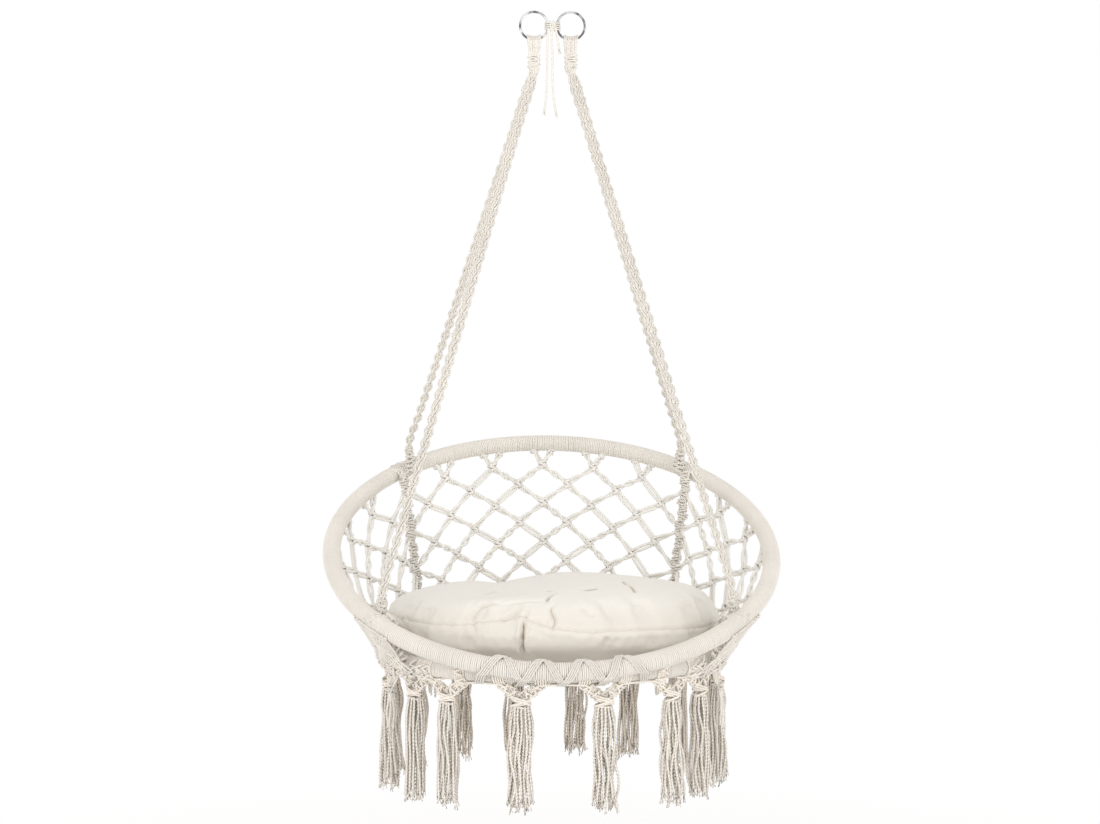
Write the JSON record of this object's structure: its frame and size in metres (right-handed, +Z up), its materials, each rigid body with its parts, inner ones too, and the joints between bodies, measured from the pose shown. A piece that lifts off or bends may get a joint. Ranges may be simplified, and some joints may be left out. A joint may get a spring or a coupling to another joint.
{
  "type": "hammock chair",
  "caption": "Round knotted-cotton hanging chair: tilted back hoop and level seat hoop joined by a net, rope-hung from steel rings, with a loose cushion and tassels.",
  "frame": {"origin": "the hanging point: midway between the two steel rings, level with the inner top of their wire, where they bear on a hook", "axes": "+Z up along the hang, -Y towards the open front that the sitter faces, +X to the right as seen from the front"},
  "size_m": [0.7982, 0.7217, 1.3358],
  "materials": {
    "ring_chrome": "polished",
    "hoop_steel": "satin",
    "rope_cotton": "matte",
    "hoop_whipping": "matte",
    "net_cord": "matte",
    "tassel_cotton": "matte",
    "cushion_cover": "matte"
  },
  "bodies": {
    "hanger": {"hanging_ring_left": "ring_chrome", "hanging_ring_right": "ring_chrome", "ring_tie": "rope_cotton", "tie_tail_left": "rope_cotton", "tie_tail_middle": "rope_cotton", "tie_tail_right": "rope_cotton"},
    "chair": {"rope_eye_left": "rope_cotton", "rope_eye_right": "rope_cotton", "rope_collar_left": "rope_cotton", "rope_collar_right": "rope_cotton", "rope_left_front": "rope_cotton", "rope_left_rear": "rope_cotton", "rope_right_front": "rope_cotton", "rope_right_rear": "rope_cotton", "back_hoop_tube": "hoop_steel", "seat_hoop_tube": "hoop_steel", "back_hoop_whipping_front": "hoop_whipping", "back_hoop_whipping_right": "hoop_whipping", "back_hoop_whipping_rear": "hoop_whipping", "back_hoop_whipping_left": "hoop_whipping", "seat_hoop_whipping_front": "hoop_whipping", "seat_hoop_whipping_right": "hoop_whipping", "seat_hoop_whipping_rear": "hoop_whipping", "seat_hoop_whipping_left": "hoop_whipping", "back_net_rear": "net_cord", "back_net_left": "net_cord", "back_net_right": "net_cord", "front_lacing": "rope_cotton", "seat_net": "net_cord", "tassel_01": "tassel_cotton", "tassel_02": "tassel_cotton", "tassel_03": "tassel_cotton", "tassel_04": "tassel_cotton", "tassel_05": "tassel_cotton", "tassel_06": "tassel_cotton", "tassel_07": "tassel_cotton", "tassel_08": "tassel_cotton", "tassel_09": "tassel_cotton", "tassel_10": "tassel_cotton", "tassel_11": "tassel_cotton", "tassel_12": "tassel_cotton", "tassel_13": "tassel_cotton", "tassel_14": "tassel_cotton", "tassel_15": "tassel_cotton", "tassel_16": "tassel_cotton"},
    "cushion": {"cushion": "cushion_cover"}
  },
  "joints": [
    {"name": "swing", "type": "hinge", "parent": "hanger", "child": "chair", "pos_m": [0, 0, -0.0466], "axis": [1, 0, 0], "range_deg": [-20, 20]},
    {"name": "cushion_lift", "type": "slide", "parent": "chair", "child": "cushion", "axis": [0, 0, 1], "range_m": [0, 0.1]}
  ]
}
